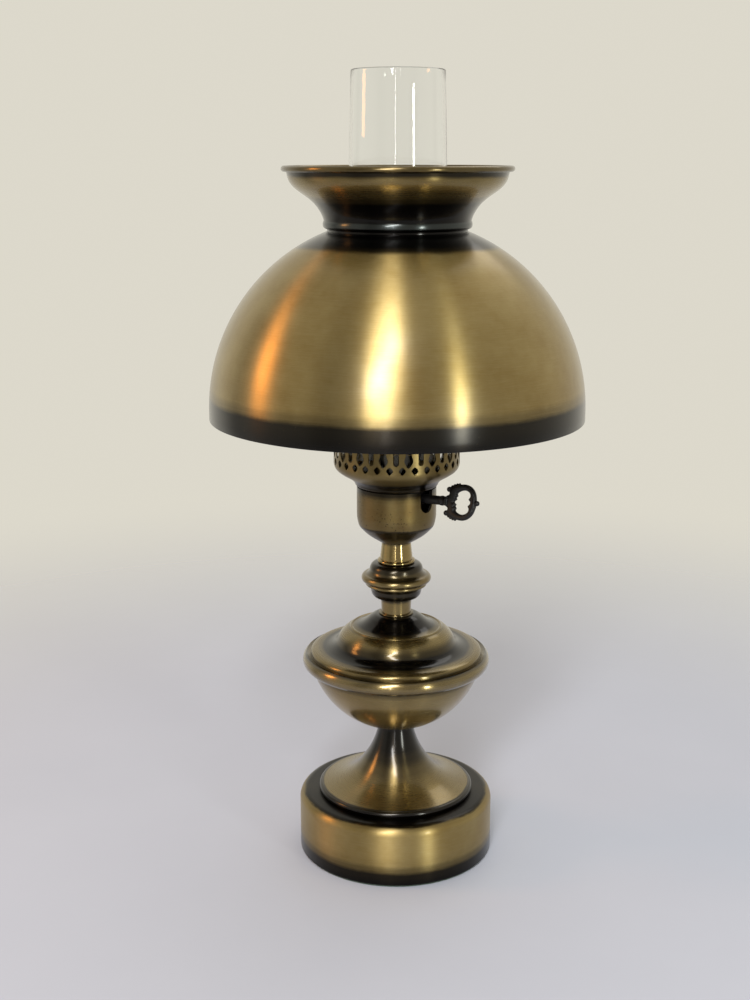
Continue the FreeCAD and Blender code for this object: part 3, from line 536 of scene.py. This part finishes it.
def make_font():
    wall_out = [(BOWL_WALL_R, 146.8), (BOWL_WALL_R, 139.5), (59.1, 137.4), (58.6, 134.9)]
    foot = [(11.6, 93.7), (BORE_R, 93.7), (BORE_R, 94.8), (12.6, 94.9)]
    wall_in = [(57.9, 136.0), (BOWL_WALL_R - SHEET, 139.0), (BOWL_WALL_R - SHEET, 146.8)]
    outline = wall_out + on_bowl(BOWL_R, 57.6, 12.4) + foot + on_bowl(BOWL_R - SHEET, 12.6, 57.6) + wall_in
    dark = [(92, 0.1), (96, 0.0), (112, 0.0), (124, 0.06), (132, 0.25), (135.0, 0.6), (137.0, 1.0),
            (147, 1.0)]
    metal = antique_brass("bowl_metal", dark, turning=5.0, roughness=0.24, tone=0.95)
    lathe("font_bowl_spun", outline, "lamp", metal, ["font_bowl"], steps=256)

    bead = arc((RIM_R, RIM_Z), RIM_BEAD_R, -95, 58, 30)
    ring = bead + [(61.5, 146.5), (BOWL_WALL_R + 0.05, 146.45), (BOWL_WALL_R + 0.05, 137.9)]
    dark = [(136.5, 1.0), (138.4, 0.9), (140.0, 0.30), (142.0, 0.08), (145.8, 0.12), (147.2, 0.6),
            (148.0, 1.0)]
    metal = antique_brass("rim_metal", dark, turning=6.0, roughness=0.26, tone=0.66, coat=1.0)
    lathe("font_rim_bead", ring, "lamp", metal, ["font_rim"], steps=256)

    shoulder = smooth([(12.4, 176.0), (13.8, 175.9), (15.4, 175.4), (18.2, 173.8), (21.0, 171.6),
                       (24.0, 169.5), (27.2, 167.9), (30.3, 167.0)], 5)
    ridge = smooth([(30.3, 167.0), (31.1, 167.3), (31.9, 167.2), (32.7, 166.4)], 4)
    band = smooth([(32.7, 166.4), (35.4, 164.9), (38.2, 162.4), (40.3, 159.6), (41.3, 157.6)], 6)
    hollow = smooth([(41.3, 157.6), (42.6, 155.6), (45.0, 153.6), (48.6, 152.2), (52.8, 151.7)], 6)
    flange = smooth([(52.8, 151.7), (56.6, 151.3), (58.8, 150.6), (59.9, 149.7), (LID_R, 148.6)], 5)
    top = [(BORE_R, 176.0)] + shoulder + ridge[1:] + band[1:] + hollow[1:] + flange[1:] + [(LID_R, 146.6)]
    under = [(LID_R - SHEET, 146.6), (LID_R - SHEET, 148.6)]
    under += [(r - 0.5, z - 0.95) for r, z in reversed(top[1:-2])]
    dark = [(0, 1.0), (26.0, 1.0), (29.2, 0.6), (30.8, 0.22), (31.8, 0.1), (33.2, 0.4), (34.4, 0.1),
            (38.0, 0.05), (41.5, 0.8), (43.5, 1.0), (50.5, 1.0), (53.5, 0.45), (56.5, 0.12), (59.8, 0.1),
            (61.0, 0.9)]
    metal = antique_brass("lid_metal", dark, along="r", turning=5.0, roughness=0.26, tone=0.64)
    lathe("font_lid_spun", top + under, "lamp", metal, ["font_lid"], steps=256)


def make_base():
    low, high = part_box("plinth_shell")
    radius = high[0] * 1000
    top = high[2] * 1000
    bottom = low[2] * 1000
    turn_r = radius - PLINTH_SHOULDER_R
    turn_z = top - PLINTH_SHOULDER_R
    shoulder = arc((turn_r, turn_z), PLINTH_SHOULDER_R, 90, 0, 16)
    edge = arc((radius - 1.0, bottom + 1.0), 1.0, 0, -90, 6)
    inner = [(radius - 2.6, bottom), (radius - 2.6, bottom + 1.0), (radius - SHEET, bottom + 1.4),
             (radius - SHEET, turn_z)] + arc((turn_r, turn_z), PLINTH_SHOULDER_R - SHEET, 8, 90, 12)
    outline = [(BORE_R, top)] + shoulder + edge + inner + [(BORE_R, top - SHEET)]
    reach = [(0, 1.0), (8.5, 0.97), (12.5, 0.55), (17.0, 0.12), (23.0, 0.0), (40.3, 0.0), (42.4, 0.25),
             (43.6, 0.97), (44.2, 1.0)]
    metal = antique_brass("plinth_metal", reach, turning=6.0, roughness=0.42, tone=0.95, coat=0.2)
    plinth = lathe("plinth_drum", outline, "lamp", metal, ["plinth_shell"], steps=256)
    cut_outlet(plinth, radius)

    edge = arc((52.9, 46.4), 2.3, -75, 88, 14)
    trumpet = smooth([(52.7, 49.0), (51.6, 49.2), (48.5, 49.9), (43.0, 51.6), (37.0, 54.2), (31.5, 57.8),
                      (27.0, 62.1), (23.2, 67.0), (19.9, 71.9), (17.3, 76.8), (15.3, 81.5), (13.8, 86.0),
                      (12.7, 90.2), (12.2, STEM_TOP)], 6)
    inner = [(r - SHEET, z - 0.9) for r, z in reversed(trumpet[4:])]
    top = [(BORE_R, STEM_TOP), (BORE_R, 92.0)]
    outline = [(54.2, FOOT_BOTTOM)] + edge + trumpet + top + inner + [(50.5, FOOT_BOTTOM)]
    dark = [(0, 1.0), (11.0, 1.0), (16.5, 0.98), (19.5, 0.88), (25.0, 0.48), (31.0, 0.12), (38.0, 0.0),
            (51.4, 0.0), (52.6, 0.9), (56.0, 1.0)]
    metal = antique_brass("foot_metal", dark, along="r", turning=5.0, roughness=0.28, tone=0.62, coat=0.6,
                          coat_rough=0.16)
    lathe("pedestal_foot_spun", outline, "lamp", metal, ["pedestal_foot"], steps=256)


def cut_outlet(piece, wall_r):
    """Cuts the cord outlet's hole through a wall at the back, for good: no modifier is left."""
    hole = bpy.data.meshes.new("cord_hole")
    bm = bmesh.new()
    turn = Matrix.Translation((0, wall_r / 1000, OUTLET_Z / 1000)) @ Matrix.Rotation(math.radians(90), 4, "X")
    bmesh.ops.create_cone(bm, cap_ends=True, segments=48, radius1=OUTLET_R / 1000, radius2=OUTLET_R / 1000,
                          depth=0.012, matrix=turn)
    bm.to_mesh(hole)
    bm.free()
    cutter = bpy.data.objects.new("cord_hole", hole)
    bpy.context.collection.objects.link(cutter)
    cut = piece.modifiers.new("cut", "BOOLEAN")
    cut.operation = "DIFFERENCE"
    cut.solver = "EXACT"
    cut.object = cutter
    settle(piece)
    bpy.data.objects.remove(cutter)


def settle(piece):
    """Turns a piece's modifiers into its mesh."""
    bpy.context.view_layer.update()
    graph = bpy.context.evaluated_depsgraph_get()
    done = bpy.data.meshes.new_from_object(piece.evaluated_get(graph))
    piece.modifiers.clear()
    piece.data = done


def make_stem():
    low = [(BORE_R, 176.05), (11.6, 176.05)] + arc((11.6, 176.6), 0.55, -90, 90, 7) + [(BORE_R, 177.15)]
    metal = antique_brass("lower_ring_metal", [(170, 0.6), (180, 0.6)], tone=0.8, roughness=0.2)
    lathe("lower_ring", low, "lamp", metal, ["lower_check_ring"], steps=96)

    neck = smooth([(10.4, 177.2), (10.45, 180.0), (10.6, 183.5), (11.0, 188.0)], 5)
    dark = [(176, 0.55), (178.0, 0.10), (184.5, 0.10), (187.2, 0.9), (189, 1.0)]
    metal = antique_brass("lower_neck_metal", dark, tone=0.78, roughness=0.18, turning=3.0, grain=0.3)
    outline = [(BORE_R, 177.2)] + neck + [(BORE_R, 188.0)]
    lathe("lower_neck_turned", outline, "lamp", metal, ["lower_neck"], steps=96)

    foot = smooth([(12.9, 188.0), (15.4, 188.9), (17.1, 190.9), (17.8, 193.6)], 5)
    step = smooth([(17.8, 193.6), (18.1, 195.0), (19.2, 196.6)], 4)
    lip = arc((20.2, 198.2), 1.3, -80, 30, 8)
    torus = arc((21.6, 202.4), 2.75, -75, 84, 18)
    waist = smooth([(21.2, 205.2), (20.3, 205.8), (19.3, 206.8), (18.65, 208.2)], 4)
    shoulder = smooth([(18.65, 208.2), (18.4, 209.9), (17.7, 211.5), (16.3, 212.8), (14.2, 213.4)], 5)
    outline = ([(BORE_R, 188.0)] + foot + step[1:] + lip + torus + waist + shoulder[1:] + [(BORE_R, 213.4)])
    dark = [(187, 0.93), (194.5, 0.90), (197.2, 0.6), (198.0, 0.2), (199.2, 0.15), (200.0, 0.8),
            (201.0, 0.25), (202.6, 0.16), (204.6, 0.26), (205.8, 0.66), (207.5, 0.70), (209.5, 0.88),
            (214, 0.97)]
    metal = antique_brass("knop_metal", dark, tone=0.72, roughness=0.3, turning=4.0, coat=0.55, aniso=0.6,
                          coat_rough=0.2)
    lathe("knop_turned", outline, "lamp", metal, ["knop"], steps=160)

    ring = [(BORE_R, 213.45), (11.9, 213.45)] + arc((11.9, 214.7), 1.25, -88, 90, 12) + [(BORE_R, 215.95)]
    dark = [(213, 0.7), (214.2, 0.15), (216, 0.0)]
    metal = antique_brass("upper_ring_metal", dark, tone=0.9, roughness=0.2)
    lathe("upper_ring", ring, "lamp", metal, ["upper_check_ring"], steps=96)

    neck = smooth([(11.35, 216.0), (11.2, 218.4), (10.75, 222.0), (10.4, 225.4), (10.1, 228.4)], 5)
    dark = [(215, 0.3), (216.6, 0.0), (226.3, 0.0), (228.2, 0.6)]
    metal = antique_brass("upper_neck_metal", dark, tone=0.9, roughness=0.18, turning=3.0, grain=0.3)
    outline = [(BORE_R, 216.0)] + neck + [(BORE_R, 228.4)]
    lathe("upper_neck_turned", outline, "lamp", metal, ["upper_neck"], steps=96)


def make_chimney():
    low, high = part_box("chimney")
    foot = low[2] * 1000
    top = high[2] * 1000
    foot_r = high[0] * 1000
    outer = arc((foot_r - 1.2, foot + 1.2), 1.2, -90, 0, 6)
    outer += [(foot_r - 0.1, foot + 3.0), (CHIMNEY_LOW_R, foot + 6.0)]
    for i in range(1, 25):
        z = foot + 6.0 + (top - CHIMNEY_LIP - foot - 6.0) * i / 24
        outer.append((CHIMNEY_LOW_R - (CHIMNEY_LOW_R - CHIMNEY_TOP_R) * i / 24, z))
    crest = arc((CHIMNEY_TOP_R - CHIMNEY_LIP, top - CHIMNEY_LIP), CHIMNEY_LIP, 10, 180, 10)
    inner = [(r - CHIMNEY_GLASS, z) for r, z in reversed(outer[8:-1])] + [(35.3, foot + 1.2), (36.0, foot)]
    lathe("chimney_glass", outer + crest + inner, "chimney", clear_glass("chimney_clear"),
          ["chimney"], steps=192, sharp=50)


def polar(points):
    """Radius against angle for an outline around the origin."""
    table = sorted((math.atan2(w, u), math.hypot(u, w)) for u, w in points)
    table = [(table[-1][0] - 2 * math.pi, table[-1][1])] + table + [(table[0][0] + 2 * math.pi, table[0][1])]

    def radius(angle):
        for (a, ra), (b, rb) in zip(table, table[1:]):
            if a <= angle <= b:
                return ra + (rb - ra) * (angle - a) / max(b - a, 1e-9)
        return table[0][1]
    return radius


def key_bow(bm, count=180, around=20):
    """The key's ring, with cusps on its inner edge; u runs along the key and w across it."""
    outside = smooth([(11.6, 0.0), (11.0, 4.0), (9.2, 7.8), (6.1, 10.7), (1.8, 12.1), (-3.2, 11.8),
                      (-7.2, 10.6), (-10.4, 9.1), (-11.7, 7.0), (-11.4, 5.0), (-13.5, 2.6), (-14.0, 0.0)], 8)
    inside = smooth([(7.2, 0.0), (6.4, 1.2), (5.2, 2.1), (6.2, 3.2), (6.6, 4.8), (5.4, 6.7), (2.4, 7.9),
                     (-0.9, 7.8), (-4.0, 6.6), (-5.3, 5.1), (-4.4, 3.9), (-5.7, 2.8), (-5.0, 1.5),
                     (-6.5, 0.6), (-6.7, 0.0)], 8)
    outer = polar(outside + [(u, -w) for u, w in outside[1:-1]])
    inner = polar(inside + [(u, -w) for u, w in inside[1:-1]])
    rings = []
    for i in range(count):
        angle = -math.pi + 2 * math.pi * (i + 0.5) / count
        mid = (outer(angle) + inner(angle)) / 2
        half = (outer(angle) - inner(angle)) / 2
        ring = []
        for k in range(around):
            turn = 2 * math.pi * k / around
            across = math.copysign(abs(math.cos(turn)) ** 0.8, math.cos(turn))
            thick = math.copysign(abs(math.sin(turn)) ** 0.8, math.sin(turn))
            r = mid + half * across
            ring.append(bm.verts.new((r * math.cos(angle), KEY_RING_HALF_T * thick, r * math.sin(angle))))
        rings.append(ring)
    for low, high in zip(rings, rings[1:] + rings[:1]):
        for k in range(around):
            j = (k + 1) % around
            bm.faces.new([low[k], low[j], high[j], high[k]])


def key_beads(bm):
    """The tip, the two ears and the small beads behind them."""
    balls = [(12.2, 0.2, 1.8)]
    for side in (-1, 1):
        balls += [(-12.4, side * 8.0, 1.9), (-10.1, side * 9.9, 1.15), (-8.2, side * 10.9, 1.05),
                  (-6.2, side * 11.6, 0.95), (-4.2, side * 12.0, 0.85)]
    for u, w, radius in balls:
        bmesh.ops.create_icosphere(bm, subdivisions=3, radius=radius, matrix=Matrix.Translation((u, 0, w)))


def key_shaft(bm, around=48):
    profile = [(-47.0, 3.05), (-18.6, 3.05), (-17.9, 3.35), (-17.0, 3.45), (-16.2, 3.3), (-15.2, 3.0),
               (-13.4, 3.4), (-12.0, 4.2)]
    loops = []
    for u, radius in profile:
        loop = []
        for k in range(around):
            turn = 2 * math.pi * k / around
            loop.append(bm.verts.new((u, radius * math.cos(turn), radius * math.sin(turn))))
        loops.append(loop)
    for low, high in zip(loops, loops[1:]):
        for k in range(around):
            j = (k + 1) % around
            bm.faces.new([low[k], high[k], high[j], low[j]])
    bm.faces.new(loops[0])
    bm.faces.new(list(reversed(loops[-1])))


def make_key():
    """Cast key: ring with cusps inside, ears and small beads outside, on a round shaft."""
    bm = bmesh.new()
    key_bow(bm)
    key_beads(bm)
    key_shaft(bm)
    bmesh.ops.recalc_face_normals(bm, faces=bm.faces)
    joint = next(j for j in frame["record"]["behaviour"]["joints"] if j["name"] == "key_turn")
    axis = Vector(joint["axis"])
    centre = Vector(joint["pos_m"]) + axis * (KEY_RING_OUT / 1000)
    turn = (Matrix.Translation(centre) @ Matrix.Rotation(math.radians(KEY_AZIMUTH), 4, "Z")
            @ Matrix.Rotation(math.radians(-KEY_TILT), 4, "Y")
            @ Matrix.Rotation(math.radians(-KEY_TURN), 4, "X")
            @ Matrix.Scale(0.001, 4))
    bm.transform(turn)
    mesh = bpy.data.meshes.new("key_cast")
    bm.to_mesh(mesh)
    bm.free()
    black = moulded("key_black", (0.008, 0.0075, 0.008), 0.42, gloss=0.35)
    piece = place_piece("key_cast", mesh, "key", black, ["key_spindle", "key_ring"], sharp=60)
    fuse = piece.modifiers.new("fuse", "REMESH")
    fuse.mode = "VOXEL"
    fuse.voxel_size = 0.00032
    fuse.use_smooth_shade = True
    soften = piece.modifiers.new("soften", "SMOOTH")
    soften.factor = 0.6
    soften.iterations = 3
    settle(piece)


def make_materials_for_cad():
    # the dark band low on the gallery, under its flare, is blacking with painted shade
    dark = [(267, 0.8), (269.0, 0.65), (269.8, 0.93), (274.2, 0.93), (275.6, 0.2), (278, 0.12), (320, 0.15)]
    dull = antique_brass("gallery_metal", dark, tone=0.60, roughness=0.38, coat=0.15, aniso=0.7, turning=5.0)
    paint("gallery", dull)
    # the dark band at the cup's top, under the gallery's flare, is blacking with painted shade
    dark = [(228, 0.9), (231.0, 0.66), (238.0, 0.60), (241.0, 0.85), (242.2, 0.05), (260.5, 0.0),
            (263.0, 0.2), (264.8, 0.62), (266.4, 0.9), (269, 0.93)]
    cup = antique_brass("cup_metal", dark, roughness=0.44, turning=4.0, tone=0.48, aniso=0.5, coat=0.3,
                        tarnish=0.30)
    paint("socket_cup", cup)
    seat = antique_brass("seat_metal", [(270, 0.4), (300, 0.4)], tone=0.7, roughness=0.4, coat=0.0)
    paint("chimney_seat", seat)
    spider = antique_brass("spider_metal", [(290, 0.1), (340, 0.1)], tone=0.85, roughness=0.35)
    paint("shade_spider", spider)
    steel = plain_metal("zinc_plate", (0.42, 0.42, 0.40), 0.35)
    for node in ("lamp_pipe", "base_washer", "base_nut", "cup_washer", "cup_nut", "bulb_contact"):
        paint(node, steel)
    bright = plain_metal("bright_brass", (0.62, 0.46, 0.19), 0.25)
    for node in ("screw_shell", "centre_contact", "terminal_screws", "bulb_base"):
        paint(node, bright)
    phenolic = moulded("phenolic", (0.018, 0.013, 0.011), 0.35)
    for node in ("socket_body", "socket_ring", "bulb_insulator"):
        paint(node, phenolic)
    paint("cord_bushing", moulded("bushing_black", (0.016, 0.016, 0.017), 0.5))
    paint("cup_liner", moulded("liner_board", (0.03, 0.026, 0.022), 0.85, lumps=0.5))
    paint("base_weight", plain_metal("cast_iron", (0.10, 0.10, 0.10), 0.6, 1.5, 0.5))
    paint("felt_pad", felt("green_felt", (0.05, 0.09, 0.055)))
    paint("bulb_glass", moulded("bulb_frosted", (0.85, 0.84, 0.80), 0.45, lumps=0.05))


make_camera()
make_lights()
make_world()
make_floor()
make_dome()
make_crown()
make_font()
make_base()
make_stem()
make_chimney()
make_key()
make_materials_for_cad()

bpy.context.scene.view_settings.view_transform = "Standard"
bpy.context.view_layer.update()
